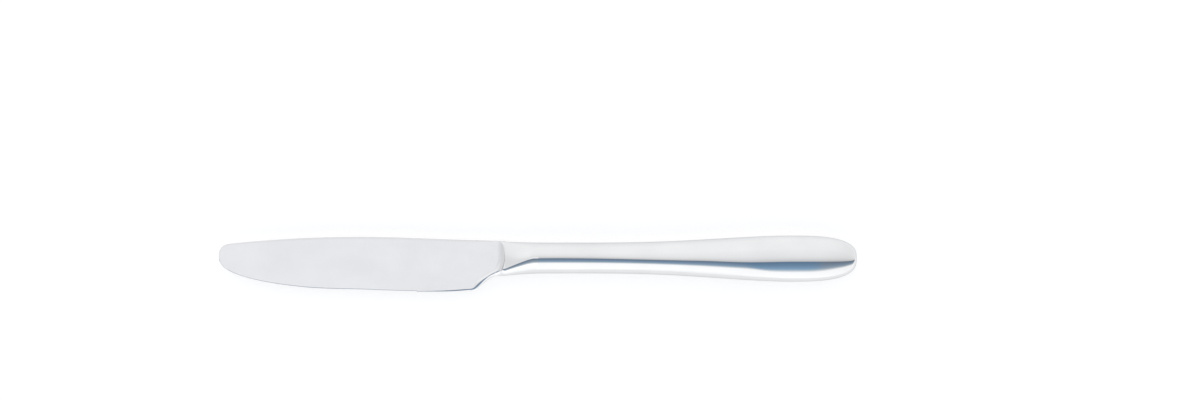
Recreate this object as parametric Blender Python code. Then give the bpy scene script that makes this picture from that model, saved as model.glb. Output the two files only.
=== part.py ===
"""Cocktail knife with a hollow handle, lying on its side on the plane Z = 0.

X runs from the tip to the butt, Y from the cutting edge to the spine and Z up off the table.
The pieces are drawn about the handle's mouth: X = 0 where the blade's shoulder meets the handle,
Y = 0 on the handle's axis and Z = 0 in the plane that halves the knife's thickness.
The root empty then carries every piece to where the knife rests.
"""

import math

import bmesh
import bpy

MM = 0.001

# Blade outline, seen from the flat side
BLADE_LENGTH = 80.8 * MM
SPINE_APEX_X = -41.3 * MM
SPINE_APEX = 6.0 * MM
SPINE_AT_TIP = 3.8 * MM
SPINE_AT_ROOT = 4.95 * MM
TIP_Y = 0.6 * MM
TIP_ROUND_LENGTH = 3.2 * MM
TIP_POWER = 2.5
BELLY_X = -22.0 * MM
BELLY_DEPTH = 9.5 * MM
BELLY_POWER = 2.5
HEEL_START = -10.6 * MM
HEEL_END = -1.4 * MM
HEEL_LIFT = 0.3 * MM

# Blade thickness, left by the grinding wheel
SPINE_THICKNESS = 1.4 * MM
TIP_THICKNESS = 1.0 * MM
EDGE_THICKNESS = 0.3 * MM
EDGE_BEVEL_WIDTH = 0.6 * MM
SHOULDER_RADIUS = 3.2 * MM
SHOULDER_LAND = 0.05 * MM
BLANK_TOP_POWER = 5.0

# Handle outline and thickness
HANDLE_LENGTH = 99.2 * MM
HANDLE_THICKNESS = 8.0 * MM
MOUTH_ABOVE = 4.75 * MM
MOUTH_BELOW = 4.95 * MM
MOUTH_THICKNESS = 3.8 * MM
MOUTH_CREST_ABOVE_BELLY = 1.85 * MM
FLARE_LENGTH = 8.0 * MM
CREST_POWER = 1.15
NECK_X = 20.0 * MM
NECK_HEIGHT = 8.86 * MM
NECK_FLARE_LENGTH = 12.0 * MM
NECK_CREST = 0.6 * MM
BUTT_CREST = -0.27 * MM
CREST_SINK_LENGTH = 38.0 * MM
BUTT_ROUND_LENGTH = 18.5 * MM
BUTT_HEIGHT = 13.2 * MM
SWELL_POWER = 1.45
BUTT_POWER = 2.85
OVAL_POWER = 2.0

# Inside the handle
SHELL_WALL = 0.8 * MM
BRAZE_THICKNESS = 0.1 * MM
TANG_LENGTH = 55.0 * MM
TANG_CLEARANCE = 0.3 * MM
TANG_END_HEIGHT = 3.2 * MM
TANG_POWER = 6.0
CEMENT_COVER = 0.8 * MM
CEMENT_CLEARANCE = 0.25 * MM

# Fineness of the meshes: an odd number of half-section steps leaves a flat along the crest to rest on
HALF_SECTION_STEPS = 21
TIP_STEPS = 26
TIP_SPACING_POWER = 2.2
BELLY_STEPS = 4
HEEL_STEPS = 12
ROOT_STEPS = 3
FLARE_STEPS = 8
NECK_STEPS = 5
SWELL_STEPS = 12
BUTT_STEPS = 10
SHOULDER_STEPS = 12
CUTTER_MARGIN = 5.0 * MM

# Where the handle is highest and its end starts to round off
BUTT_X = HANDLE_LENGTH - BUTT_ROUND_LENGTH


def clamp(value):
    return min(1.0, max(0.0, value))


def smooth_step(share):
    s = clamp(share)
    return s * s * (3 - 2 * s)


def smoother_step(share):
    s = clamp(share)
    return s**3 * (s * (6 * s - 15) + 10)


def rounded_end(share, power):
    """Grows from 0 to 1 along a superellipse quarter, upright at its start and level at its end."""
    return (1 - (1 - clamp(share)) ** power) ** (1 / power)


def mix(first, second, share):
    return first + (second - first) * share


# Outlines of the blade and the handle


def spine_y(x):
    """Height of the blade's back: two shallow arcs that meet level at the apex, rounded off at the tip."""
    if x < SPINE_APEX_X:
        drop = SPINE_APEX - SPINE_AT_TIP
        run = SPINE_APEX_X + BLADE_LENGTH
    else:
        drop = SPINE_APEX - SPINE_AT_ROOT
        run = -SPINE_APEX_X
    back = SPINE_APEX - drop * ((x - SPINE_APEX_X) / run) ** 2
    return mix(TIP_Y, back, rounded_end((x + BLADE_LENGTH) / TIP_ROUND_LENGTH, TIP_POWER))


def edge_y(x):
    """Height of the cutting edge: a curved belly, then the heel's S-curve up to the handle."""
    if x < BELLY_X:
        share = (x + BLADE_LENGTH) / (BELLY_X + BLADE_LENGTH)
        return mix(TIP_Y, -BELLY_DEPTH, rounded_end(share, BELLY_POWER))
    belly = -BELLY_DEPTH + HEEL_LIFT * clamp((x - BELLY_X) / (HEEL_START - BELLY_X)) ** 2
    return mix(belly, -MOUTH_BELOW, heel_share(x))


def heel_share(x):
    return smoother_step((x - HEEL_START) / (HEEL_END - HEEL_START))


def handle_half_height(x, at_mouth):
    """Half the handle's height: a short flare at the mouth, a slim neck and a swell towards the butt."""
    flare = (1 - clamp(x / NECK_FLARE_LENGTH)) ** 2
    swell = smooth_step(clamp((x - NECK_X) / (BUTT_X - NECK_X)) ** SWELL_POWER)
    neck = NECK_HEIGHT / 2
    return neck + (at_mouth - neck) * flare + (BUTT_HEIGHT / 2 - neck) * swell


def crest_y(x):
    """Height of the handle's thickest line: up from the heel, over the axis in the neck, under it in the butt."""
    along = mix(NECK_CREST, BUTT_CREST, smooth_step((x - NECK_X) / CREST_SINK_LENGTH))
    return mix(along, MOUTH_CREST_ABOVE_BELLY - MOUTH_BELOW, flatness(x) ** CREST_POWER)


def flatness(x):
    """1 at the flat-sided mouth of the handle, 0 where its section has become a full oval."""
    return 1 - clamp(x / FLARE_LENGTH)


# Cross-sections, as (y, z) from the spine side over the crest to the belly side


def half_section(top, crest, bottom, half_thickness, top_power, bottom_power):
    """Two superellipse quarters that share a crest, the thickest line of the section."""
    points = []
    for step in range(HALF_SECTION_STEPS + 1):
        angle = math.pi * step / HALF_SECTION_STEPS
        above = step * 2 < HALF_SECTION_STEPS
        power = top_power if above else bottom_power
        reach = top - crest if above else bottom - crest
        y = crest + reach * abs(math.cos(angle)) ** (2 / power)
        points.append((y, half_thickness * max(0.0, math.sin(angle)) ** (2 / power)))
    return points


def full_ring(x, half):
    """A closed ring of points from a half-section and its mirror image."""
    front = [(x, y, z) for y, z in half]
    back = [(x, y, -z) for y, z in half[-2:0:-1]]
    return front + back


def blank_ring(x):
    """Section of the forged blade before grinding, as thick as the mouth of the handle."""
    top = spine_y(x)
    bottom = edge_y(x)
    half_thickness = MOUTH_THICKNESS / 2
    bevel_height = half_thickness * EDGE_BEVEL_WIDTH / (EDGE_THICKNESS / 2)
    crest_height = mix(bevel_height, MOUTH_CREST_ABOVE_BELLY, heel_share(x))
    crest = bottom + min(crest_height, (top - bottom) / 2)
    bottom_power = mix(1.0, OVAL_POWER, heel_share(x))
    return full_ring(x, half_section(top, crest, bottom, half_thickness, BLANK_TOP_POWER, bottom_power))


def tang_half_thickness():
    return MOUTH_THICKNESS / 2 - SHELL_WALL - TANG_CLEARANCE


def tang_half_height(x):
    """Half the tang's height, which leaves the cement its cover in the neck and tapers to the tang's end."""
    root = NECK_HEIGHT / 2 - SHELL_WALL - 2 * CEMENT_CLEARANCE - CEMENT_COVER
    return mix(root, TANG_END_HEIGHT / 2, clamp(x / TANG_LENGTH))


def tang_ring(x, grown=0.0):
    height = tang_half_height(x) + grown
    thickness = tang_half_thickness() + grown
    return full_ring(x, half_section(height, 0.0, -height, thickness, TANG_POWER, TANG_POWER))


def shell_half_thickness(x):
    """Half the handle's thickness without the braze in its seam: flat at the mouth, then full."""
    mouth = (MOUTH_THICKNESS - BRAZE_THICKNESS) / 2
    full = (HANDLE_THICKNESS - BRAZE_THICKNESS) / 2
    return mix(mouth, full, smooth_step(x / FLARE_LENGTH))


def handle_section(x, inset, end_scale):
    """Half-section of the handle, moved inwards by inset and shrunk towards the butt's end."""
    top = (handle_half_height(x, MOUTH_ABOVE) - inset) * end_scale
    bottom = (inset - handle_half_height(x, MOUTH_BELOW)) * end_scale
    crest = crest_y(x) * end_scale
    thickness = (shell_half_thickness(x) - inset) * end_scale
    top_power = mix(OVAL_POWER, BLANK_TOP_POWER, flatness(x))
    return half_section(top, crest, bottom, thickness, top_power, OVAL_POWER)


def handle_stations(inset, start=0.0):
    """(x, half-section) along the handle from start to just short of the butt's end."""
    places = [FLARE_LENGTH * i / FLARE_STEPS for i in range(FLARE_STEPS)]
    places += [mix(FLARE_LENGTH, NECK_X, i / NECK_STEPS) for i in range(NECK_STEPS)]
    places += [mix(NECK_X, BUTT_X, i / SWELL_STEPS) for i in range(SWELL_STEPS)]
    stations = [(x, handle_section(x, inset, 1.0)) for x in places if x >= start]
    round_length = BUTT_ROUND_LENGTH - inset
    for i in range(BUTT_STEPS):
        reach = math.sin(math.pi / 2 * i / BUTT_STEPS)
        end_scale = (1 - reach**BUTT_POWER) ** (1 / BUTT_POWER)
        stations.append((BUTT_X + round_length * reach, handle_section(BUTT_X, inset, end_scale)))
    return stations


# Meshes


def new_piece(name, mesh, parent):
    bmesh.ops.recalc_face_normals(mesh, faces=mesh.faces)
    data = bpy.data.meshes.new(name)
    mesh.to_mesh(data)
    mesh.free()
    data.shade_smooth()
    data.set_sharp_from_angle(angle=math.radians(30))
    piece = bpy.data.objects.new(name, data)
    bpy.context.scene.collection.objects.link(piece)
    piece.parent = parent
    return piece


def coat(piece, material_name, colour, roughness, metallic):
    """Gives a piece a material of its own."""
    material = bpy.data.materials.new(material_name)
    material.use_nodes = True
    shader = material.node_tree.nodes["Principled BSDF"]
    shader.inputs["Base Color"].default_value = (*colour, 1.0)
    shader.inputs["Roughness"].default_value = roughness
    shader.inputs["Metallic"].default_value = metallic
    piece.data.materials.append(material)


def add_loop(mesh, points):
    return [mesh.verts.new(point) for point in points]


def skin_between(mesh, first, second):
    """Quads between two closed loops of as many points."""
    for i in range(len(first)):
        j = (i + 1) % len(first)
        mesh.faces.new((first[i], first[j], second[j], second[i]))


def close_on_point(mesh, loop, point):
    pole = mesh.verts.new(point)
    for i in range(len(loop)):
        mesh.faces.new((loop[i], loop[(i + 1) % len(loop)], pole))


def loft(rings):
    """A skin over closed rings, open at both ends. Gives the mesh, its first loop and its last loop."""
    mesh = bmesh.new()
    loops = [add_loop(mesh, ring) for ring in rings]
    for first, second in zip(loops, loops[1:]):
        skin_between(mesh, first, second)
    return mesh, loops[0], loops[-1]


# Blade


def blade_places():
    """X places of the blade's sections, close together where the outline turns quickly."""
    places = []
    for i in range(1, TIP_STEPS + 1):
        places.append(mix(-BLADE_LENGTH, BELLY_X, (i / TIP_STEPS) ** TIP_SPACING_POWER))
    for start, end, steps in (
        (BELLY_X, HEEL_START, BELLY_STEPS),
        (HEEL_START, HEEL_END, HEEL_STEPS),
        (HEEL_END, 0.0, ROOT_STEPS),
    ):
        places += [mix(start, end, i / steps) for i in range(1, steps + 1)]
    return places


def grind_slopes():
    """How fast half the blade's thickness grows along X and along Y."""
    along = (SPINE_THICKNESS - TIP_THICKNESS) / 2 / BLADE_LENGTH
    across = (SPINE_THICKNESS - EDGE_THICKNESS) / 2 / (SPINE_AT_ROOT + BELLY_DEPTH)
    return along, across


def ground_z(x, y):
    """Height of the blade's ground flat above the plane that halves the knife."""
    along, across = grind_slopes()
    return SPINE_THICKNESS / 2 + along * x + across * (y - SPINE_AT_ROOT)


def shoulder_angle():
    """How far round its edge the wheel cuts, to climb from the ground flat to the crest at the mouth."""
    rise = MOUTH_THICKNESS / 2 - ground_z(0.0, MOUTH_CREST_ABOVE_BELLY - MOUTH_BELOW)
    return math.acos(1 - min(1.0, rise / SHOULDER_RADIUS))


def wheel_profile(y):
    """Path of the grinding wheel along the blade: flat, then round its edge, closed well above the blank."""
    outside = -BLADE_LENGTH - CUTTER_MARGIN
    clear = MOUTH_THICKNESS
    whole_angle = shoulder_angle()
    arc_start = -SHOULDER_LAND - SHOULDER_RADIUS * math.sin(whole_angle)
    points = [(outside, y, ground_z(outside, y))]
    for i in range(SHOULDER_STEPS + 1):
        angle = whole_angle * i / SHOULDER_STEPS
        x = arc_start + SHOULDER_RADIUS * math.sin(angle)
        points.append((x, y, ground_z(x, y) + SHOULDER_RADIUS * (1 - math.cos(angle))))
    points.append((-SHOULDER_LAND, y, clear))
    points.append((outside, y, clear))
    return points


def grinding_cutter(name, side, parent):
    """What the wheel takes off one flat of the blade. Side is 1 for the upper flat and -1 for the lower."""
    low = -BELLY_DEPTH - CUTTER_MARGIN
    high = SPINE_APEX + CUTTER_MARGIN
    mesh = bmesh.new()
    ends = [[(x, y, side * z) for x, y, z in wheel_profile(end)] for end in (low, high)]
    loops = [add_loop(mesh, points) for points in ends]
    skin_between(mesh, *loops)
    for loop in loops:
        mesh.faces.new(loop)
    cutter = new_piece(name, mesh, parent)
    cutter.hide_render = True
    cutter.display_type = "WIRE"
    return cutter


def make_blade(parent):
    """Forged blade with its shoulder and its tang, both flats ground by the wheel."""
    rings = [blank_ring(x) for x in blade_places()]
    rings += [tang_ring(0.0), tang_ring(TANG_LENGTH)]
    mesh, first, last = loft(rings)
    close_on_point(mesh, first, (-BLADE_LENGTH, TIP_Y, 0.0))
    mesh.faces.new(last)
    blade = new_piece("blade", mesh, parent)
    coat(blade, "blade_steel", (0.78, 0.79, 0.80), 0.16, 1.0)
    for name, side in (("wheel_path_front", 1), ("wheel_path_back", -1)):
        cut = blade.modifiers.new(name, "BOOLEAN")
        cut.operation = "DIFFERENCE"
        cut.object = grinding_cutter(name, side, parent)


# Handle


def make_shell(name, side, parent):
    """One stamped half of the handle. Side is 1 for the half that faces up and -1 for the half below."""
    seam = BRAZE_THICKNESS / 2
    mesh = bmesh.new()
    skins = []
    for inset in (0.0, SHELL_WALL):
        rows = []
        for x, half in handle_stations(inset):
            rows.append(add_loop(mesh, [(x, y, side * (z + seam)) for y, z in half]))
        pole = mesh.verts.new((HANDLE_LENGTH - inset, 0.0, side * seam))
        skins.append((rows, pole))
    for rows, pole in skins:
        for first, second in zip(rows, rows[1:]):
            for i in range(HALF_SECTION_STEPS):
                mesh.faces.new((first[i], first[i + 1], second[i + 1], second[i]))
        for i in range(HALF_SECTION_STEPS):
            mesh.faces.new((rows[-1][i], rows[-1][i + 1], pole))
    (outer, outer_pole), (inner, inner_pole) = skins
    for i in range(HALF_SECTION_STEPS):
        mesh.faces.new((outer[0][i], outer[0][i + 1], inner[0][i + 1], inner[0][i]))
    for end in (0, -1):
        outer_edge = [row[end] for row in outer] + [outer_pole]
        inner_edge = [row[end] for row in inner] + [inner_pole]
        for i in range(len(outer)):
            mesh.faces.new((outer_edge[i], outer_edge[i + 1], inner_edge[i + 1], inner_edge[i]))
    coat(new_piece(name, mesh, parent), name + "_steel", (0.82, 0.82, 0.83), 0.06, 1.0)


def seam_edge(inset):
    """The seam's line between the shells: along the spine, round the butt and back along the belly."""
    stations = handle_stations(inset)
    spine = [(x, half[0][0]) for x, half in stations]
    belly = [(x, half[-1][0]) for x, half in stations]
    return spine + [(HANDLE_LENGTH - inset, 0.0)] + belly[::-1]


def make_seam_braze(parent):
    """Filler metal in the seam, one flat horseshoe as wide as the shells' walls."""
    mesh = bmesh.new()
    layers = []
    for z in (BRAZE_THICKNESS / 2, -BRAZE_THICKNESS / 2):
        for inset in (0.0, SHELL_WALL):
            layers.append(add_loop(mesh, [(x, y, z) for x, y in seam_edge(inset)]))
    front_outer, front_inner, back_outer, back_inner = layers
    loop = (front_outer, front_inner, back_inner, back_outer)
    for first, second in zip(loop, loop[1:] + loop[:1]):
        for i in range(len(first) - 1):
            mesh.faces.new((first[i], first[i + 1], second[i + 1], second[i]))
    for end in (0, -1):
        mesh.faces.new([edge[end] for edge in loop])
    coat(new_piece("seam_braze", mesh, parent), "seam_braze_metal", (0.76, 0.73, 0.66), 0.2, 1.0)


def make_tang_cement(parent):
    """Cement that fills the handle from the neck to the butt, with the pocket that the tang is set in."""
    inset = SHELL_WALL + CEMENT_CLEARANCE
    pocket_end = TANG_LENGTH + CEMENT_CLEARANCE
    rings = [tang_ring(x, CEMENT_CLEARANCE) for x in (pocket_end, FLARE_LENGTH)]
    rings += [full_ring(x, half) for x, half in handle_stations(inset, FLARE_LENGTH)]
    mesh, pocket, butt = loft(rings)
    mesh.faces.new(pocket)
    close_on_point(mesh, butt, (HANDLE_LENGTH - inset, 0.0, 0.0))
    coat(new_piece("tang_cement", mesh, parent), "tang_cement_grey", (0.62, 0.60, 0.56), 0.9, 0.0)


def resting_place():
    """Where the mouth of the handle lies when the knife's box is centred on the origin and rests on Z = 0."""
    top = max(SPINE_APEX, BUTT_HEIGHT / 2)
    lowest = max(z for _, z in handle_section(BUTT_X, 0.0, 1.0)) + BRAZE_THICKNESS / 2
    return ((BLADE_LENGTH - HANDLE_LENGTH) / 2, (BELLY_DEPTH - top) / 2, lowest)


def main():
    for old in list(bpy.data.objects):
        bpy.data.objects.remove(old)
    root = bpy.data.objects.new("knife", None)
    bpy.context.scene.collection.objects.link(root)
    root.location = resting_place()
    make_blade(root)
    make_shell("handle_shell_front", 1, root)
    make_shell("handle_shell_back", -1, root)
    make_seam_braze(root)
    make_tang_cement(root)


main()
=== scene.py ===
"""Cocktail knife with a hollow handle, lying on its side on a white studio floor.

X runs from the tip to the butt, Y from the cutting edge to the spine and Z up off the floor.
The pieces are drawn in metres about the handle's mouth: X = 0 where the blade's shoulder meets
the handle, Y = 0 on the handle's axis and Z = 0 in the plane that halves the knife's thickness.
They are carried to where the knife rests when they are finished.
"""

import math

import bmesh
import bpy
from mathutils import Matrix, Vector


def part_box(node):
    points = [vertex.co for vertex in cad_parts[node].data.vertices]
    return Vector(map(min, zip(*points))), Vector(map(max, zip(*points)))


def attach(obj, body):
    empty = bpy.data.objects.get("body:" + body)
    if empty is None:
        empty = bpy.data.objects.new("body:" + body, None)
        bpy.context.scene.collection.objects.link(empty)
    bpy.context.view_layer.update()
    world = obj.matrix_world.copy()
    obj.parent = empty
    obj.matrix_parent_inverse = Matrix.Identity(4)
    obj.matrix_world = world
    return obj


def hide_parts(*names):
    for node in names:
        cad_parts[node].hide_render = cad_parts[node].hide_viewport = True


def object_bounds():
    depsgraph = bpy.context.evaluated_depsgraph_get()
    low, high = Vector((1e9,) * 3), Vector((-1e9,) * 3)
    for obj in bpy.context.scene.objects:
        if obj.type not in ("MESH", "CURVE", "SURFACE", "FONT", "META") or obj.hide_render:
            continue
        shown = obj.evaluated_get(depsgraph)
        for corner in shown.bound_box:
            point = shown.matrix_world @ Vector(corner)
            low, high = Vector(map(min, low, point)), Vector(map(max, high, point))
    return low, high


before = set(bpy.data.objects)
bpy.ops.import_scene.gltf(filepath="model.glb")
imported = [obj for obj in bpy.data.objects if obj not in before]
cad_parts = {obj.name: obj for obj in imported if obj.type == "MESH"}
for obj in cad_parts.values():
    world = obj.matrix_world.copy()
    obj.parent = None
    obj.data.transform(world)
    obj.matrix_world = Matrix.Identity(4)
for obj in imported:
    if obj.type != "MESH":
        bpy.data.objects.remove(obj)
solid_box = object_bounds()

MM = 0.001

# Blade outline, seen from the flat side
BLADE_LENGTH = 80.8 * MM
SPINE_APEX_X = -41.3 * MM
SPINE_APEX = 6.0 * MM
SPINE_AT_TIP = 3.8 * MM
SPINE_AT_ROOT = 4.95 * MM
TIP_Y = 0.6 * MM
TIP_ROUND_LENGTH = 3.2 * MM
TIP_POWER = 2.5
BELLY_X = -18.5 * MM
BELLY_DEPTH = 9.5 * MM
BELLY_POWER = 2.5
HEEL_START = -10.6 * MM
HEEL_END = -1.4 * MM
HEEL_LIFT = 0.3 * MM

# Edge worn back by sharpening, which stops short of the heel
WHETTED_FROM = -56.5 * MM
WHETTED_DEEPEST = -40.4 * MM
WHETTED_TO = -25.6 * MM
WHETTED_DEPTH = 0.36 * MM
WHETTED_STEP = 1.0 * MM

# Forged rim along the heel, which the grinding left standing
HEEL_RIM_START = 0.25 * MM
HEEL_RIM_TOP = 0.75 * MM
HEEL_RIM_GROWS = (-9.2 * MM, -5.9 * MM)
HEEL_RIM_FILLET = 0.8 * MM

# Blade thickness, and how its edges are rounded
SPINE_THICKNESS = 1.4 * MM
TIP_THICKNESS = 1.0 * MM
EDGE_THICKNESS = 0.3 * MM
ROOT_THICKENING = 0.28 * MM
ROOT_LENGTH = 18.0 * MM
SPINE_ROUNDING = 0.15 * MM
SPINE_ROUNDING_FADES = (-6.0 * MM, -3.0 * MM)
TIP_REGION_END = -60.0 * MM
TIP_EDGE_LENGTH = 8.0 * MM

# Rounding of the cutting edge, which changes along the heel until it is the handle's own
WHETTED_EDGE_WIDTH = 0.24 * MM
FULL_EDGE_WIDTH = 0.62 * MM
EDGE_WIDENS = (WHETTED_TO, -9.6 * MM)
HEEL_WIDENING = 0.93 * MM
HEEL_WIDENS = (-9.7 * MM, -7.4 * MM)
HEEL_NARROWING = 0.5 * MM
HEEL_NARROWS = (-7.2 * MM, -4.8 * MM)
WIDENS_TO_MOUTH = (-3.4 * MM, 0.0)
HEEL_BEVELLING = 0.42
HEEL_BEVELS = (-7.6 * MM, -4.3 * MM)
FOOT_BEVELLING = 0.3
FOOT_BEVELS = (-3.4 * MM, -2.2 * MM)
ROUNDS_TO_MOUTH = (-1.6 * MM, 0.0)

# Shoulder, where the grinding wheel ran out against the handle
SHOULDER_RADIUS = 3.2 * MM
SHOULDER_LAND = 0.05 * MM
SHOULDER_APEX_Y = 0.3 * MM
SHOULDER_LEAN = 0.55 * MM
SHOULDER_TOP_POWER = 3.8

# Handle outline and thickness
HANDLE_LENGTH = 99.2 * MM
MOUTH_ABOVE = 4.75 * MM
MOUTH_BELOW = 4.95 * MM
MOUTH_THICKNESS = 3.8 * MM
MOUTH_CREST_ABOVE_BELLY = 2.15 * MM
FLARE_LENGTH = 8.0 * MM
THICKENING_LENGTH = 9.0 * MM
THICKENING_BLEND = 0.3
CREST_POWER = 1.15
NECK_X = 20.0 * MM
NECK_ABOVE = 4.43 * MM
NECK_BELOW = 4.26 * MM
NECK_FLARE_LENGTH = 12.0 * MM
NECK_CREST = 0.42 * MM
BUTT_CREST = -0.27 * MM
BUTT_CREST_DROP = 0.3 * MM
CREST_SINK_START = 14.0 * MM
CREST_SINK_LENGTH = 44.0 * MM
CREST_SAG = 0.32 * MM
CREST_SAG_X = 68.0 * MM
CREST_SAG_LENGTH = 14.0 * MM
BUTT_ROUND_LENGTH = 18.5 * MM
BUTT_ABOVE = 6.42 * MM
BUTT_BELOW = 6.6 * MM
SWELL_POWER = 1.45
BUTT_POWER = 2.85
OVAL_POWER = 2.0
BUTT_X = HANDLE_LENGTH - BUTT_ROUND_LENGTH
CREST_AT_MOUTH = MOUTH_CREST_ABOVE_BELLY - MOUTH_BELOW
MOUTH_HALF = MOUTH_THICKNESS / 2

# Inside the handle
SHELL_WALL = 0.8 * MM
BRAZE_THICKNESS = 0.1 * MM
TANG_LENGTH = 55.0 * MM
TANG_HALF_THICKNESS = 0.8 * MM
TANG_ROOT_HEIGHT = 4.66 * MM
TANG_END_HEIGHT = 3.2 * MM
TANG_POWER = 6.0

# How finely the pieces are drawn
HALF_SECTION_STEPS = 56
FLARE_STEPS = 32
NECK_STEPS = 24
SWELL_STEPS = 64
BUTT_STEPS = 40
TIP_STEPS = 84
TIP_SPACING_POWER = 2.6
WHETTED_STEPS = 8
BELLY_STEPS = 16
HEEL_STEPS = 48
SHOULDER_STEPS = 44
SHOULDER_CREST_STEPS = 18
SHOULDER_CREST_LENGTH = 0.3 * MM
SHOULDER_CREST_SPACING_POWER = 5.0
WALL_STEPS = 24
ROUNDING_STEPS = 6
FLAT_STEPS = 18
PLATEAU_STEPS = 12
PLATEAU_SPACING_POWER = 1.5
EDGE_STEPS = 16
EDGE_ROOM = 0.3
EDGE_MARGIN = 0.25
TIP_OUTLINE_STEPS = 1200
TIP_OUTLINE_OVERLAP = 2 * MM
TIP_OUTLINE_SPACING_POWER = 3
CREASE_SEARCH_STEPS = 60
BLADE_SMOOTH_ANGLE = 30
HANDLE_SMOOTH_ANGLE = 35
MERGE_DISTANCE = 0.0001 * MM

# Where the mouth of the handle lies when the knife is at rest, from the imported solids' own boxes
shell_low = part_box("handle_shell_front")[0]
blade_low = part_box("blade")[0]
HANDLE_HALF_THICKNESS = (solid_box[1].z - solid_box[0].z) / 2
REST = Vector((shell_low.x, blade_low.y + BELLY_DEPTH, HANDLE_HALF_THICKNESS))


def clamp(value):
    return min(1.0, max(0.0, value))


def smooth_step(share):
    s = clamp(share)
    return s * s * (3 - 2 * s)


def smoother_step(share):
    s = clamp(share)
    return s**3 * (s * (6 * s - 15) + 10)


def passed(x, span):
    """0 before a span of places, 1 after it, with a smooth step over it."""
    start, end = span
    return smooth_step((x - start) / (end - start))


def rounded_end(share, power):
    """Grows from 0 to 1 along a superellipse quarter, upright at first and level at its end."""
    return (1 - (1 - clamp(share)) ** power) ** (1 / power)


def mix(first, second, share):
    return first + (second - first) * share


# Outlines


def spine_y(x):
    """Height of the blade's back: an arc from the rounded tip to the apex, then an S-curve."""
    if x < SPINE_APEX_X:
        share = (SPINE_APEX_X - x) / (SPINE_APEX_X + BLADE_LENGTH)
        back = mix(SPINE_APEX, SPINE_AT_TIP, share**2)
    else:
        back = mix(SPINE_APEX, SPINE_AT_ROOT, smooth_step(1 - x / SPINE_APEX_X))
    return mix(TIP_Y, back, rounded_end((x + BLADE_LENGTH) / TIP_ROUND_LENGTH, TIP_POWER))


def whetting(x):
    """How much of the cutting edge sharpening has taken away."""
    if x < WHETTED_DEEPEST:
        share = passed(x, (WHETTED_FROM, WHETTED_DEEPEST))
    else:
        share = 1 - passed(x, (WHETTED_DEEPEST, WHETTED_TO)) / 2
    return WHETTED_DEPTH * share * (1 - passed(x, (WHETTED_TO, WHETTED_TO + WHETTED_STEP)))


def edge_y(x):
    """Height of the cutting edge: a curved belly, then the heel's S-curve up to the handle."""
    if x < BELLY_X:
        share = (x + BLADE_LENGTH) / (BELLY_X + BLADE_LENGTH)
        return mix(TIP_Y, -BELLY_DEPTH, rounded_end(share, BELLY_POWER)) + whetting(x)
    belly = -BELLY_DEPTH + HEEL_LIFT * clamp((x - BELLY_X) / (HEEL_START - BELLY_X)) ** 2
    return mix(belly, -MOUTH_BELOW, smoother_step((x - HEEL_START) / (HEEL_END - HEEL_START)))


def handle_reach(x, mouth, neck, butt):
    """How far the handle reaches from its axis: a flare at the mouth, a slim neck and a swell."""
    flare = (1 - clamp(x / NECK_FLARE_LENGTH)) ** 2
    swell = smooth_step(clamp((x - NECK_X) / (BUTT_X - NECK_X)) ** SWELL_POWER)
    return neck + (mouth - neck) * flare + (butt - neck) * swell


def flatness(x):
    """1 at the flat-sided mouth of the handle, 0 where its section has become a full oval."""
    return 1 - clamp(x / FLARE_LENGTH)


def thickening(x):
    """0 to 1 along the flare: a straight slope from a crisp mouth, rounded off at the neck."""
    share = clamp(x / THICKENING_LENGTH)
    slope = 1 / (1 - THICKENING_BLEND / 2)
    if share < 1 - THICKENING_BLEND:
        return slope * share
    return 1 - slope * (1 - share) ** 2 / (2 * THICKENING_BLEND)


def crest_y(x):
    """Height of the handle's thickest line, which sinks along it and sags before the butt."""
    along = mix(NECK_CREST, BUTT_CREST, smooth_step((x - CREST_SINK_START) / CREST_SINK_LENGTH))
    along -= CREST_SAG * smooth_step(1 - abs(x - CREST_SAG_X) / CREST_SAG_LENGTH)
    return mix(along, CREST_AT_MOUTH, flatness(x) ** CREST_POWER)


# Sections of the handle


def oval_half(top, crest, bottom, half_thickness, top_power):
    """(y, z) from the spine over the crest to the belly: a superellipse above an ellipse."""
    points = []
    for step in range(HALF_SECTION_STEPS + 1):
        angle = math.pi * step / HALF_SECTION_STEPS
        above = step * 2 < HALF_SECTION_STEPS
        power = top_power if above else OVAL_POWER
        reach = top - crest if above else bottom - crest
        y = crest + reach * abs(math.cos(angle)) ** (2 / power)
        points.append((y, half_thickness * max(0.0, math.sin(angle)) ** (2 / power)))
    return points


def handle_ring(place, x, end_scale):
    """A closed ring round the handle, with a narrow band for the seam on spine and belly."""
    seam = BRAZE_THICKNESS / 2
    top = handle_reach(x, MOUTH_ABOVE, NECK_ABOVE, BUTT_ABOVE) * end_scale
    bottom = -handle_reach(x, MOUTH_BELOW, NECK_BELOW, BUTT_BELOW) * end_scale
    thickness = mix(MOUTH_HALF, HANDLE_HALF_THICKNESS, thickening(x)) - seam
    top_power = mix(OVAL_POWER, SHOULDER_TOP_POWER, flatness(x) ** 2)
    # The crest drops most where the butt's rounding has half its size
    drop = BUTT_CREST_DROP * 4 * end_scale * (1 - end_scale)
    crest = crest_y(x) * end_scale - drop
    half = oval_half(top, crest, bottom, thickness * end_scale, top_power)
    upper = [(place, y, z + seam) for y, z in half]
    lower = [(place, y, -z - seam) for y, z in reversed(half)]
    return upper + lower


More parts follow.
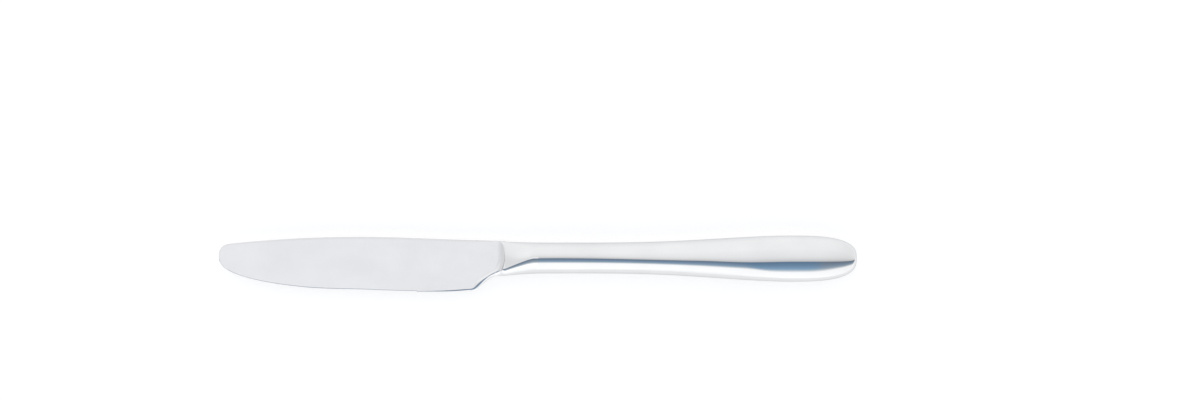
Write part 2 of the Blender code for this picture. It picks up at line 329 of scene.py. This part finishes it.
def handle_rings():
    places = [FLARE_LENGTH * i / FLARE_STEPS for i in range(FLARE_STEPS)]
    places += [mix(FLARE_LENGTH, NECK_X, i / NECK_STEPS) for i in range(NECK_STEPS)]
    places += [mix(NECK_X, BUTT_X, i / SWELL_STEPS) for i in range(SWELL_STEPS)]
    rings = [handle_ring(x, x, 1.0) for x in places]
    for i in range(BUTT_STEPS + 1):
        angle = math.pi / 2 * i / BUTT_STEPS
        reach = math.sin(angle) ** (2 / BUTT_POWER)
        end_scale = max(0.0, math.cos(angle)) ** (2 / BUTT_POWER) if i < BUTT_STEPS else 0.0
        rings.append(handle_ring(BUTT_X + BUTT_ROUND_LENGTH * reach, BUTT_X, end_scale))
    return rings


# Sections of the blade

GRIND_ALONG = (SPINE_THICKNESS - TIP_THICKNESS) / 2 / BLADE_LENGTH
GRIND_ACROSS = (SPINE_THICKNESS - EDGE_THICKNESS) / 2 / (SPINE_AT_ROOT + BELLY_DEPTH)


def ground_z(x, y):
    """Height of the blade's ground flat above the middle plane. It thickens towards its root."""
    root = ROOT_THICKENING * max(0.0, 1 + x / ROOT_LENGTH) ** 2
    return SPINE_THICKNESS / 2 + GRIND_ALONG * x + GRIND_ACROSS * (y - SPINE_AT_ROOT) + root


SHOULDER_RISE = MOUTH_HALF - ground_z(0.0, SHOULDER_APEX_Y)
SHOULDER_ANGLE = math.acos(1 - SHOULDER_RISE / SHOULDER_RADIUS)
SHOULDER_RUN = SHOULDER_RADIUS * math.sin(SHOULDER_ANGLE)


def shoulder_lean(y):
    """How far the foot of the shoulder's crest leans towards the tip, below its apex."""
    share = (SHOULDER_APEX_Y - y) / (SHOULDER_APEX_Y - CREST_AT_MOUTH)
    return SHOULDER_LEAN * max(0.0, share) ** 2


def ground_and_shoulder_z(x, y):
    """Height of the ground flat with the concave shoulder that the wheel leaves at the handle."""
    into_arc = x + SHOULDER_LAND + shoulder_lean(y) + SHOULDER_RUN
    sine = min(max(0.0, into_arc / SHOULDER_RADIUS), math.sin(SHOULDER_ANGLE))
    rise = SHOULDER_RADIUS * (1 - math.sqrt(1 - sine * sine))
    below_apex = min(0.0, y - SHOULDER_APEX_Y)
    return ground_z(x, y) - GRIND_ACROSS * below_apex * rise / SHOULDER_RISE + rise


def forged_top(x, angle):
    """(y, z) on the forged spine side: a flat-topped superellipse quarter above the crest."""
    power = 2 / SHOULDER_TOP_POWER
    reach = spine_y(x) - CREST_AT_MOUTH
    y = CREST_AT_MOUTH + reach * math.cos(angle) ** power
    return y, MOUTH_HALF * math.sin(angle) ** power


def upper_crease_angle(x):
    """Where round the forged spine side the ground surface starts."""
    low, high = 0.0, math.pi / 2
    for _ in range(CREASE_SEARCH_STEPS):
        middle = (low + high) / 2
        y, z = forged_top(x, middle)
        if y > SHOULDER_APEX_Y and z < ground_and_shoulder_z(x, y):
            low = middle
        else:
            high = middle
    return low


def lower_crease_y(x):
    """Where the shoulder's crest passes below its apex, or the crest's own height before that."""
    before_apex = -SHOULDER_LAND - x
    share = math.sqrt(clamp(before_apex / SHOULDER_LEAN))
    return mix(SHOULDER_APEX_Y, CREST_AT_MOUTH, share)


def edge_width(x):
    """Width of the rounding along the cutting edge and the heel."""
    width = mix(WHETTED_EDGE_WIDTH, FULL_EDGE_WIDTH, passed(x, EDGE_WIDENS))
    width += HEEL_WIDENING * passed(x, HEEL_WIDENS) - HEEL_NARROWING * passed(x, HEEL_NARROWS)
    return mix(width, MOUTH_CREST_ABOVE_BELLY, passed(x, WIDENS_TO_MOUTH))


def edge_power(x):
    """Shape of that rounding: 2 is an ellipse, 1 a straight bevel."""
    power = OVAL_POWER - HEEL_BEVELLING * passed(x, HEEL_BEVELS)
    power -= FOOT_BEVELLING * passed(x, FOOT_BEVELS)
    return mix(power, OVAL_POWER, passed(x, ROUNDS_TO_MOUTH))


def tip_outline():
    """Points on the outline round the tip, each with how much of a cutting edge it is, 0 to 1."""
    points = []
    end = TIP_REGION_END + TIP_OUTLINE_OVERLAP
    for i in range(TIP_OUTLINE_STEPS):
        share = (i / (TIP_OUTLINE_STEPS - 1)) ** TIP_OUTLINE_SPACING_POWER
        x = mix(-BLADE_LENGTH, end, share)
        points.append((x, spine_y(x), 0.0))
        points.append((x, edge_y(x), smooth_step((x + BLADE_LENGTH) / TIP_EDGE_LENGTH)))
    return points


TIP_OUTLINE = tip_outline()


def from_tip_outline(x, y):
    """Distance of a point of the flat from the outline round the tip, and how sharp that is."""
    nearest = min(TIP_OUTLINE, key=lambda p: (p[0] - x) ** 2 + (p[1] - y) ** 2)
    return math.hypot(nearest[0] - x, nearest[1] - y), nearest[2]


def spine_rounding(x):
    return SPINE_ROUNDING * (1 - passed(x, SPINE_ROUNDING_FADES))


def rounded_height(height, depth, rounding):
    """Height of a flat whose upright side is rounded off, at a depth in from that side."""
    if depth >= rounding:
        return height
    return height - rounding * (1 - math.sqrt(1 - (1 - depth / rounding) ** 2))


def heel_rim(x, above_edge, ground):
    """How far the forged rim along the heel stands above the ground flat."""
    crest = mix(HEEL_RIM_START, HEEL_RIM_TOP, passed(x, HEEL_RIM_GROWS))
    near = 1 - smooth_step((above_edge - edge_width(x)) / HEEL_RIM_FILLET)
    return max(0.0, crest - ground) * near


def flat_height(x, y, top, bottom):
    """Height of the blade's surface at a point of its flat, with the rounding along its edges."""
    height = min(ground_and_shoulder_z(x, y), MOUTH_HALF)
    width = edge_width(x)
    rounding = spine_rounding(x)
    if x < TIP_REGION_END:
        depth, sharp = from_tip_outline(x, y)
        blunt = rounded_height(height, depth, rounding)
        honed = height * rounded_end(depth / width, edge_power(x))
        return mix(blunt, honed, sharp)
    if rounding > 0:
        height = rounded_height(height, top - y, rounding)
    if x > HEEL_RIM_GROWS[0]:
        height += heel_rim(x, y - bottom, height)
    return height * rounded_end((y - bottom) / width, edge_power(x))


def blade_half(x):
    """(y, z) from the spine over the flat to the cutting edge."""
    top = spine_y(x)
    bottom = edge_y(x)
    room = (top - bottom) * EDGE_ROOM
    crease_angle = upper_crease_angle(x)
    crease_y, _ = forged_top(x, crease_angle)
    rounding = min(spine_rounding(x), room)
    if rounding > 0:
        start = top
        wall_z = flat_height(x, crease_y, top, bottom)
        wall = [(top, wall_z * i / WALL_STEPS) for i in range(WALL_STEPS + 1)]
    else:
        start = crease_y
        wall = [forged_top(x, crease_angle * i / WALL_STEPS) for i in range(WALL_STEPS + 1)]
    heights = []
    for i in range(1, ROUNDING_STEPS + 1):
        heights.append(start - rounding * (1 - math.cos(math.pi / 2 * i / ROUNDING_STEPS)))
    flat_top = heights[-1]
    width = min(edge_width(x), room)
    edge_top = bottom + width
    at_heel = passed(x, (BELLY_X, HEEL_START))
    flat_bottom = edge_top + mix(width * EDGE_MARGIN, HEEL_RIM_FILLET, at_heel)
    if x > -SHOULDER_LAND - SHOULDER_LEAN:
        flat_bottom = max(lower_crease_y(x), edge_top)
    flat_bottom = min(flat_bottom, flat_top)
    for i in range(1, FLAT_STEPS + 1):
        heights.append(mix(flat_top, flat_bottom, i / FLAT_STEPS))
    for i in range(1, PLATEAU_STEPS + 1):
        share = 1 - (1 - i / PLATEAU_STEPS) ** PLATEAU_SPACING_POWER
        heights.append(mix(flat_bottom, edge_top, share))
    for i in range(1, EDGE_STEPS + 1):
        heights.append(mix(edge_top, bottom, (1 - math.cos(math.pi * i / EDGE_STEPS)) / 2))
    surface = [(y, flat_height(x, y, top, bottom)) for y in heights]
    return wall + surface + [(bottom, 0.0)]


def mirrored_ring(x, half):
    """A closed ring from a half-section and its mirror image."""
    return [(x, y, z) for y, z in half] + [(x, y, -z) for y, z in half[-2:0:-1]]


def blade_places():
    """X places of the blade's sections, close together where its outline or surface turns."""
    places = []
    for i in range(1, TIP_STEPS + 1):
        places.append(mix(-BLADE_LENGTH, BELLY_X, (i / TIP_STEPS) ** TIP_SPACING_POWER))
    places += [WHETTED_TO + WHETTED_STEP * i / WHETTED_STEPS for i in range(WHETTED_STEPS + 1)]
    places += [mix(BELLY_X, HEEL_START, i / BELLY_STEPS) for i in range(1, BELLY_STEPS + 1)]
    arc_start = -SHOULDER_LAND - SHOULDER_RUN - SHOULDER_LEAN
    places += [mix(HEEL_START, arc_start, i / HEEL_STEPS) for i in range(1, HEEL_STEPS + 1)]
    for i in range(1, SHOULDER_STEPS + 1):
        places.append(mix(arc_start, -SHOULDER_LAND, i / SHOULDER_STEPS))
    for i in range(1, SHOULDER_CREST_STEPS):
        share = (i / SHOULDER_CREST_STEPS) ** SHOULDER_CREST_SPACING_POWER
        places.append(-SHOULDER_LAND - SHOULDER_CREST_LENGTH * share)
    return sorted(set(places)) + [0.0]


def tang_point(x, y, z):
    """Where a point of the shoulder's face is drawn in to on the tang."""
    half_height = mix(TANG_ROOT_HEIGHT, TANG_END_HEIGHT, x / TANG_LENGTH) / 2
    angle = math.atan2(z, y)
    across = abs(math.cos(angle) / half_height) ** TANG_POWER
    through = abs(math.sin(angle) / TANG_HALF_THICKNESS) ** TANG_POWER
    reach = (across + through) ** (-1 / TANG_POWER)
    return x, reach * math.cos(angle), reach * math.sin(angle)


def blade_rings():
    rings = [mirrored_ring(x, blade_half(x)) for x in blade_places()]
    mouth = rings[-1]
    for x in (0.0, TANG_LENGTH):
        rings.append([tang_point(x, y, z) for _, y, z in mouth])
    return rings


# Modelling

X_AXIS = 0
Z_AXIS = 2


def deselect_all():
    if bpy.context.mode != "OBJECT":
        bpy.ops.object.mode_set(mode="OBJECT")
    bpy.ops.object.select_all(action="DESELECT")


def pick(piece):
    """Makes a piece the only one that is selected."""
    deselect_all()
    piece.select_set(True)
    bpy.context.view_layer.objects.active = piece


def place_ring(piece, points):
    """Moves the ring that is selected to its place on the piece."""
    mesh = bmesh.from_edit_mesh(piece.data)
    ring = [vertex for vertex in mesh.verts if vertex.select]
    for vertex, point in zip(ring, points):
        vertex.co = point
    bmesh.update_edit_mesh(piece.data)


def draw_out(name, rings):
    """A tube drawn out of a circle, ring by ring. It stays in edit mode, last ring selected."""
    deselect_all()
    bpy.ops.mesh.primitive_circle_add(vertices=len(rings[0]), radius=MM)
    piece = bpy.context.object
    piece.name = name
    bpy.ops.object.mode_set(mode="EDIT")
    bpy.ops.mesh.select_mode(type="VERT")
    bpy.ops.mesh.select_all(action="SELECT")
    place_ring(piece, rings[0])
    for ring in rings[1:]:
        bpy.ops.mesh.extrude_region_move(TRANSFORM_OT_translate={"value": (MM, 0, 0)})
        place_ring(piece, ring)
    return piece


def select_vertices(piece, wanted):
    mesh = bmesh.from_edit_mesh(piece.data)
    bpy.ops.mesh.select_all(action="DESELECT")
    for vertex in mesh.verts:
        vertex.select = wanted(vertex)
    mesh.select_flush(True)
    bmesh.update_edit_mesh(piece.data)


def select_faces(piece, wanted):
    bpy.ops.mesh.select_mode(type="FACE")
    mesh = bmesh.from_edit_mesh(piece.data)
    bpy.ops.mesh.select_all(action="DESELECT")
    for face in mesh.faces:
        face.select = wanted(face)
    bmesh.update_edit_mesh(piece.data)


def close_and_merge():
    bpy.ops.mesh.select_all(action="SELECT")
    bpy.ops.mesh.remove_doubles(threshold=MERGE_DISTANCE)
    bpy.ops.mesh.select_all(action="SELECT")
    bpy.ops.mesh.normals_make_consistent(inside=False)


def finish_piece(piece, smooth_angle):
    """Smooths a piece up to an angle and carries it to where the knife rests."""
    pick(piece)
    bpy.ops.object.shade_smooth_by_angle(angle=math.radians(smooth_angle))
    piece.location = REST
    bpy.ops.object.transform_apply(location=True, rotation=True, scale=True)


def solidify_inwards(piece):
    """Gives a skin the thickness of the shells' walls, inwards."""
    pick(piece)
    bpy.ops.object.modifier_add(type="SOLIDIFY")
    wall = piece.modifiers[-1]
    wall.thickness = SHELL_WALL
    wall.offset = -1
    wall.use_even_offset = True
    bpy.ops.object.modifier_apply(modifier=wall.name)


def wall_shell(piece):
    """Gives an outer skin its wall, and squares the wall's edges with the mouth and the seam."""
    outer_count = len(piece.data.vertices)
    flat_places = []
    for vertex in piece.data.vertices:
        if abs(vertex.co.x) < MERGE_DISTANCE:
            flat_places.append((vertex.index + outer_count, X_AXIS))
        if abs(abs(vertex.co.z) - BRAZE_THICKNESS / 2) < MERGE_DISTANCE:
            flat_places.append((vertex.index + outer_count, Z_AXIS))
    seam = math.copysign(BRAZE_THICKNESS / 2, sum(v.co.z for v in piece.data.vertices))
    solidify_inwards(piece)
    bpy.ops.object.mode_set(mode="EDIT")
    bpy.ops.mesh.select_mode(type="VERT")
    for axis, place in ((X_AXIS, (0.0, 0.0, 0.0)), (Z_AXIS, (0.0, 0.0, seam))):
        inner = {index for index, flat_axis in flat_places if flat_axis == axis}
        select_vertices(piece, lambda vertex: vertex.index in inner)
        squash = [1.0, 1.0, 1.0]
        squash[axis] = 0.0
        bpy.ops.transform.resize(value=squash, center_override=place)
    bpy.ops.object.mode_set(mode="OBJECT")


def split_off(piece, name, wanted):
    """Separates the faces that are wanted into a piece of their own."""
    pick(piece)
    bpy.ops.object.mode_set(mode="EDIT")
    select_faces(piece, wanted)
    bpy.ops.mesh.separate(type="SELECTED")
    bpy.ops.object.mode_set(mode="OBJECT")
    new_piece = next(o for o in bpy.context.selected_objects if o != piece)
    new_piece.name = name
    return new_piece


def make_handle():
    """The hollow handle, drawn out as one skin and parted into two shells and their braze."""
    skin = draw_out("handle_front", handle_rings())
    close_and_merge()
    bpy.ops.object.mode_set(mode="OBJECT")
    seam = BRAZE_THICKNESS / 2
    back = split_off(skin, "handle_back", lambda face: face.calc_center_median().z < -seam)
    braze = split_off(skin, "handle_seam", lambda face: face.calc_center_median().z < seam)
    for piece in (skin, back):
        wall_shell(piece)
    solidify_inwards(braze)
    for piece in (skin, back, braze):
        finish_piece(piece, HANDLE_SMOOTH_ANGLE)
    return skin, back, braze


def make_blade():
    """Blade, shoulder and tang, drawn out in one from the tip to the end of the tang."""
    rings = blade_rings()
    blade = draw_out("knife_blade", rings)
    bpy.ops.mesh.edge_face_add()
    count = len(rings[0])
    select_vertices(blade, lambda vertex: vertex.index < count)
    bpy.ops.mesh.edge_face_add()
    close_and_merge()
    bpy.ops.object.mode_set(mode="OBJECT")
    finish_piece(blade, BLADE_SMOOTH_ANGLE)
    return blade


# Finishes, with features counted per metre along each axis

NOISE_SPAN = (0.3, 0.7)
HAZE_SCALE = (90.0, 140.0, 140.0)
HAZE_DETAIL = 3.0
LINE_DETAIL = 4.0
GRAIN_SCALE = (2600.0, 2600.0, 2600.0)
GRAIN_DETAIL = 5.0
GRAIN_TONES = ((0.46, 0.44, 0.40), (0.70, 0.68, 0.64))
GRAIN_ROUGHNESS = (0.95, 0.8)
GRAIN_HEIGHT = 0.06 * MM


def new_finish(name):
    finish = bpy.data.materials.new(name)
    finish.use_nodes = True
    return finish, finish.node_tree.nodes, finish.node_tree.links


def stretched_noise(nodes, links, scale, detail):
    """Noise on the piece's own coordinates."""
    place = nodes.new("ShaderNodeTexCoord")
    stretch = nodes.new("ShaderNodeMapping")
    stretch.inputs["Scale"].default_value = scale
    noise = nodes.new("ShaderNodeTexNoise")
    noise.inputs["Scale"].default_value = 1.0
    noise.inputs["Detail"].default_value = detail
    links.new(place.outputs["Object"], stretch.inputs["Vector"])
    links.new(stretch.outputs["Vector"], noise.inputs["Vector"])
    return noise.outputs["Fac"]


def spread(nodes, links, source, low, high):
    """Carries a noise from its usual span to a span of values."""
    span = nodes.new("ShaderNodeMapRange")
    span.inputs["From Min"].default_value = NOISE_SPAN[0]
    span.inputs["From Max"].default_value = NOISE_SPAN[1]
    span.inputs["To Min"].default_value = low
    span.inputs["To Max"].default_value = high
    links.new(source, span.inputs["Value"])
    return span.outputs["Result"]


def two_tones(nodes, links, source, first, second):
    """Passes from one tone to another over a noise's usual span."""
    ramp = nodes.new("ShaderNodeValToRGB")
    for element, place, tone in zip(ramp.color_ramp.elements, NOISE_SPAN, (first, second)):
        element.position = place
        element.color = (*tone, 1.0)
    links.new(source, ramp.inputs["Fac"])
    return ramp.outputs["Color"]


def relief(nodes, links, source, height, shader):
    bump = nodes.new("ShaderNodeBump")
    bump.inputs["Strength"].default_value = 1.0
    bump.inputs["Distance"].default_value = height
    links.new(source, bump.inputs["Height"])
    links.new(bump.outputs["Normal"], shader.inputs["Normal"])


def metal_finish(name, tones, grazing_tint, roughness, lines_per_metre, line_height):
    """Bright metal with fine polishing lines and a faint haze.

    The grazing tint is its tone where it is seen nearly edge-on.
    """
    finish, nodes, links = new_finish(name)
    shader = nodes["Principled BSDF"]
    shader.inputs["Metallic"].default_value = 1.0
    shader.inputs["Specular Tint"].default_value = (*grazing_tint, 1.0)
    haze = stretched_noise(nodes, links, HAZE_SCALE, HAZE_DETAIL)
    lines = stretched_noise(nodes, links, lines_per_metre, LINE_DETAIL)
    links.new(two_tones(nodes, links, haze, *tones), shader.inputs["Base Color"])
    links.new(spread(nodes, links, lines, *roughness), shader.inputs["Roughness"])
    relief(nodes, links, lines, line_height, shader)
    return finish


def cement_finish():
    """Pale grey cement with darker sand grains and a grainy surface."""
    finish, nodes, links = new_finish("tang_cement_grain")
    shader = nodes["Principled BSDF"]
    grains = stretched_noise(nodes, links, GRAIN_SCALE, GRAIN_DETAIL)
    links.new(two_tones(nodes, links, grains, *GRAIN_TONES), shader.inputs["Base Color"])
    links.new(spread(nodes, links, grains, *GRAIN_ROUGHNESS), shader.inputs["Roughness"])
    relief(nodes, links, grains, GRAIN_HEIGHT, shader)
    return finish


def coat(piece, finish):
    piece.data.materials.clear()
    piece.data.materials.append(finish)


# Studio

FLOOR_SIZE = 40.0
FLOOR_DROP = 0.02 * MM
FLOOR_TONE = (0.45, 0.45, 0.45, 1.0)
FLOOR_ROUGHNESS = 0.9
FLOOR_GLOW = (1.0, 1.0, 1.0, 1.0)
FLOOR_GLOW_STRENGTH = 0.64


def make_floor():
    """A white floor, lit from below as well, so that the knife throws next to no shadow on it."""
    deselect_all()
    bpy.ops.mesh.primitive_plane_add(size=FLOOR_SIZE, location=(0.0, 0.0, -FLOOR_DROP))
    floor = bpy.context.object
    floor.name = "studio_floor"
    finish, nodes, _ = new_finish("white_floor")
    shader = nodes["Principled BSDF"]
    shader.inputs["Base Color"].default_value = FLOOR_TONE
    shader.inputs["Roughness"].default_value = FLOOR_ROUGHNESS
    shader.inputs["Specular IOR Level"].default_value = 0.0
    shader.inputs["Emission Color"].default_value = FLOOR_GLOW
    shader.inputs["Emission Strength"].default_value = FLOOR_GLOW_STRENGTH
    coat(floor, finish)


# Panels of the light tent: brightness by the angle from straight up, in degrees. Positive angles
# lean to the spine's side, and negative ones to the cutting edge's side, where the tent has a dark
# opening. It is white below the floor's horizon.
OPENING = (
    (-36, (0.88, 0.9, 0.92)),
    (-33, (0.64, 0.69, 0.74)),
    (-29.8, (0.38, 0.48, 0.58)),
    (-25.5, (0.26, 0.363, 0.49)),
    (-18, (0.19, 0.275, 0.38)),
    (-10.3, (0.15, 0.215, 0.3)),
)


def tinted(stops, strength):
    """The same stops, with less colour for a strength under 1 and more for one over 1."""
    drawn = []
    for angle, colour in stops:
        grey = colour[1]
        drawn.append((angle, tuple(mix(grey, part, strength) for part in colour)))
    return tuple(drawn)


OVER_HANDLE = (
    (-180, (1.1, 1.1, 1.1)),
    (-100, (1.0, 1.0, 1.0)),
    (-75, (1.17, 1.17, 1.17)),
    (-45, (1.12, 1.12, 1.13)),
    (-38, (1.07, 1.08, 1.095)),
    *OPENING,
    (-8.1, (0.15, 0.21, 0.29)),
    (-7.7, (0.58, 0.58, 0.595)),
    (-3.6, (0.665, 0.665, 0.675)),
    (1.5, (0.79, 0.79, 0.795)),
    (6.7, (0.865, 0.865, 0.87)),
    (12, (0.905, 0.905, 0.91)),
    (20, (0.935, 0.935, 0.94)),
    (33, (0.975, 0.975, 0.98)),
    (60, (0.98, 0.98, 0.985)),
    (95, (0.98, 0.98, 0.98)),
    (180, (1.1, 1.1, 1.1)),
)
OVER_SWELL = tinted(OVER_HANDLE, 1.3)
PAST_HANDLE = tinted(OVER_HANDLE, 0.75)
OVER_BLADE = (
    (-180, (1.1, 1.1, 1.1)),
    (-100, (1.0, 1.0, 1.0)),
    (-45, (1.25, 1.25, 1.26)),
    (-38, (1.15, 1.16, 1.17)),
    *tinted(OPENING, 0.65),
    (-9.6, (0.171, 0.21, 0.262)),
    (-9.2, (0.93, 0.93, 0.945)),
    (-3.5, (0.94, 0.94, 0.955)),
    (0, (0.87, 0.87, 0.88)),
    (3, (0.855, 0.855, 0.86)),
    (8, (0.88, 0.88, 0.885)),
    (14, (0.92, 0.92, 0.925)),
    (25, (0.96, 0.96, 0.965)),
    (48, (0.98, 0.98, 0.985)),
    (95, (0.97, 0.97, 0.97)),
    (180, (1.1, 1.1, 1.1)),
)
PAST_BLADE = (
    (-180, (1.1, 1.1, 1.1)),
    (-100, (1.0, 1.0, 1.0)),
    (-45, (1.25, 1.25, 1.26)),
    (-38, (1.15, 1.16, 1.17)),
    *tinted(OPENING, 0.8),
    (-9.6, (0.162, 0.21, 0.274)),
    (-9.2, (0.78, 0.78, 0.79)),
    (-5, (0.87, 0.87, 0.88)),
    (-1.5, (0.8, 0.8, 0.81)),
    (0.8, (0.82, 0.82, 0.83)),
    (5.7, (0.925, 0.925, 0.93)),
    (13.5, (0.975, 0.975, 0.98)),
    (25, (1.0, 1.0, 1.005)),
    (48, (1.0, 1.0, 1.005)),
    (95, (0.97, 0.97, 0.97)),
    (180, (1.1, 1.1, 1.1)),
)
TIP_END = (
    (-180, (1.1, 1.1, 1.1)),
    (-92, (1.1, 1.1, 1.1)),
    (-88, (0.75, 0.75, 0.755)),
    (0, (0.76, 0.76, 0.77)),
    (88, (0.75, 0.75, 0.755)),
    (92, (1.1, 1.1, 1.1)),
    (180, (1.1, 1.1, 1.1)),
)
TENT_STRENGTH = 1.11
# Where one panel passes into the next, by how far a direction leans along the knife
HANDLE_TO_SWELL = (0.026, 0.036)
SWELL_TO_PAST = (0.09, 0.2)
HANDLE_TO_BLADE = (-0.013, -0.021)
BLADE_TO_PAST = (-0.24, -0.55)
PAST_TO_TIP_END = (-0.6, -0.95)
TIP_END_SIDE = (-0.3, -0.1)
DIMS_TO_BUTT_END = (0.05, 0.7)
BUTT_END_DIMMING = 0.92
# The opening widens over the swell, narrows past it and widens again at the butt's end
OPENING_EDGE = math.radians(-7.85)
OPENING_WIDENS = (0.021, 0.04)
OPENING_STRETCH = 0.74
OPENING_NARROWS = (0.06, 0.4)
OPENING_SHRINK = 1.26
OPENING_REOPENS = (0.6, 0.95)
OPENING_END_STRETCH = 0.7
# The mix node has sockets of the same name for each kind of value. These are the ones for colours.
MIX_FIRST_COLOUR = 6
MIX_SECOND_COLOUR = 7
MIX_RESULT_COLOUR = 2


def panel_ramp(nodes, links, angle_share, stops):
    """One panel's colours over a full turn."""
    ramp = nodes.new("ShaderNodeValToRGB")
    elements = ramp.color_ramp.elements
    while len(elements) < len(stops):
        elements.new(1.0)
    for element, (angle, colour) in zip(elements, stops):
        element.position = (angle + 180) / 360
        element.color = (*colour, 1.0)
    links.new(angle_share, ramp.inputs["Fac"])
    return ramp.outputs["Color"]


def sum_up(nodes, links, operation, first, second):
    """One arithmetic node. Either input is a socket or a number."""
    node = nodes.new("ShaderNodeMath")
    node.operation = operation
    for socket, value in zip(node.inputs, (first, second)):
        if isinstance(value, float):
            socket.default_value = value
        else:
            links.new(value, socket)
    return node.outputs["Value"]


def ease(nodes, links, source, span, values):
    """Passes smoothly from one value to another over a span of the source."""
    node = nodes.new("ShaderNodeMapRange")
    node.interpolation_type = "SMOOTHSTEP"
    node.inputs["From Min"].default_value = span[0]
    node.inputs["From Max"].default_value = span[1]
    node.inputs["To Min"].default_value = values[0]
    node.inputs["To Max"].default_value = values[1]
    links.new(source, node.inputs["Value"])
    return node.outputs["Result"]


def make_light_tent():
    """Soft light from a white tent all round the knife."""
    tent = bpy.data.worlds.new("light_tent")
    bpy.context.scene.world = tent
    tent.use_nodes = True
    nodes = tent.node_tree.nodes
    links = tent.node_tree.links
    place = nodes.new("ShaderNodeTexCoord")
    parts = nodes.new("ShaderNodeSeparateXYZ")
    links.new(place.outputs["Generated"], parts.inputs["Vector"])
    lean = parts.outputs["X"]
    side = parts.outputs["Y"]
    angle = sum_up(nodes, links, "ARCTAN2", side, parts.outputs["Z"])
    widened = ease(nodes, links, lean, OPENING_WIDENS, (1.0, OPENING_STRETCH))
    narrowed = ease(nodes, links, lean, OPENING_NARROWS, (1.0, OPENING_SHRINK))
    reopened = ease(nodes, links, lean, OPENING_REOPENS, (1.0, OPENING_END_STRETCH))
    stretch = sum_up(nodes, links, "MULTIPLY", widened, narrowed)
    stretch = sum_up(nodes, links, "MULTIPLY", stretch, reopened)
    above = sum_up(nodes, links, "MAXIMUM", angle, OPENING_EDGE)
    beyond = sum_up(nodes, links, "SUBTRACT", angle, OPENING_EDGE)
    beyond = sum_up(nodes, links, "MINIMUM", beyond, 0.0)
    beyond = sum_up(nodes, links, "MULTIPLY", beyond, stretch)
    angle = sum_up(nodes, links, "ADD", above, beyond)
    share = nodes.new("ShaderNodeMapRange")
    share.inputs["From Min"].default_value = -math.pi
    share.inputs["From Max"].default_value = math.pi
    links.new(angle, share.inputs["Value"])
    light = panel_ramp(nodes, links, share.outputs["Result"], OVER_HANDLE)
    for stops, span in (
        (OVER_SWELL, HANDLE_TO_SWELL),
        (PAST_HANDLE, SWELL_TO_PAST),
        (OVER_BLADE, HANDLE_TO_BLADE),
        (PAST_BLADE, BLADE_TO_PAST),
        (TIP_END, PAST_TO_TIP_END),
    ):
        panel = panel_ramp(nodes, links, share.outputs["Result"], stops)
        joint = nodes.new("ShaderNodeMix")
        joint.data_type = "RGBA"
        factor = ease(nodes, links, lean, span, (0.0, 1.0))
        if stops is TIP_END:
            on_side = ease(nodes, links, side, TIP_END_SIDE, (0.0, 1.0))
            factor = sum_up(nodes, links, "MULTIPLY", factor, on_side)
        links.new(factor, joint.inputs["Factor"])
        links.new(light, joint.inputs[MIX_FIRST_COLOUR])
        links.new(panel, joint.inputs[MIX_SECOND_COLOUR])
        light = joint.outputs[MIX_RESULT_COLOUR]
    links.new(light, nodes["Background"].inputs["Color"])
    strengths = (TENT_STRENGTH, TENT_STRENGTH * BUTT_END_DIMMING)
    strength = ease(nodes, links, lean, DIMS_TO_BUTT_END, strengths)
    links.new(strength, nodes["Background"].inputs["Strength"])


CAMERA_HEIGHT = 1.2
SENSOR_WIDTH = 36.0
VIEW_WIDTH = 338.6 * MM
VIEW_CENTRE = (17.55 * MM, 17.9 * MM)


def make_camera():
    """Looks straight down, with the knife left of and below the middle of the picture."""
    lens = bpy.data.cameras.new("overhead_camera")
    camera = bpy.data.objects.new("overhead_camera", lens)
    bpy.context.scene.collection.objects.link(camera)
    camera.location = (*VIEW_CENTRE, HANDLE_HALF_THICKNESS + CAMERA_HEIGHT)
    lens.sensor_width = SENSOR_WIDTH
    lens.lens = SENSOR_WIDTH * CAMERA_HEIGHT / VIEW_WIDTH
    bpy.context.scene.camera = camera


make_camera()
make_floor()
make_light_tent()
bpy.context.scene.view_settings.view_transform = "Standard"

blade_finish = metal_finish(
    "ground_blade_steel",
    tones=((0.755, 0.76, 0.775), (0.795, 0.8, 0.815)),
    grazing_tint=(0.75, 0.75, 0.75),
    roughness=(0.06, 0.1),
    lines_per_metre=(7000.0, 260.0, 260.0),
    line_height=0.0003 * MM,
)
handle_finish = metal_finish(
    "polished_handle_steel",
    tones=((0.76, 0.765, 0.77), (0.795, 0.8, 0.805)),
    grazing_tint=(0.75, 0.75, 0.76),
    roughness=(0.025, 0.055),
    lines_per_metre=(240.0, 6000.0, 6000.0),
    line_height=0.00008 * MM,
)
braze_finish = metal_finish(
    "polished_braze",
    tones=((0.80, 0.76, 0.68), (0.86, 0.83, 0.76)),
    grazing_tint=(0.75, 0.75, 0.75),
    roughness=(0.1, 0.2),
    lines_per_metre=(300.0, 5000.0, 5000.0),
    line_height=0.0002 * MM,
)

blade = make_blade()
front, back, braze = make_handle()
for piece, finish, node, slot in (
    (blade, blade_finish, "blade", "blade_steel"),
    (front, handle_finish, "handle_shell_front", "handle_steel"),
    (back, handle_finish, "handle_shell_back", "handle_steel"),
    (braze, braze_finish, "seam_braze", "braze"),
):
    coat(piece, finish)
    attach(piece, "root")
    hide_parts(node)

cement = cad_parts["tang_cement"]
cement.material_slots[0].material = cement_finish()
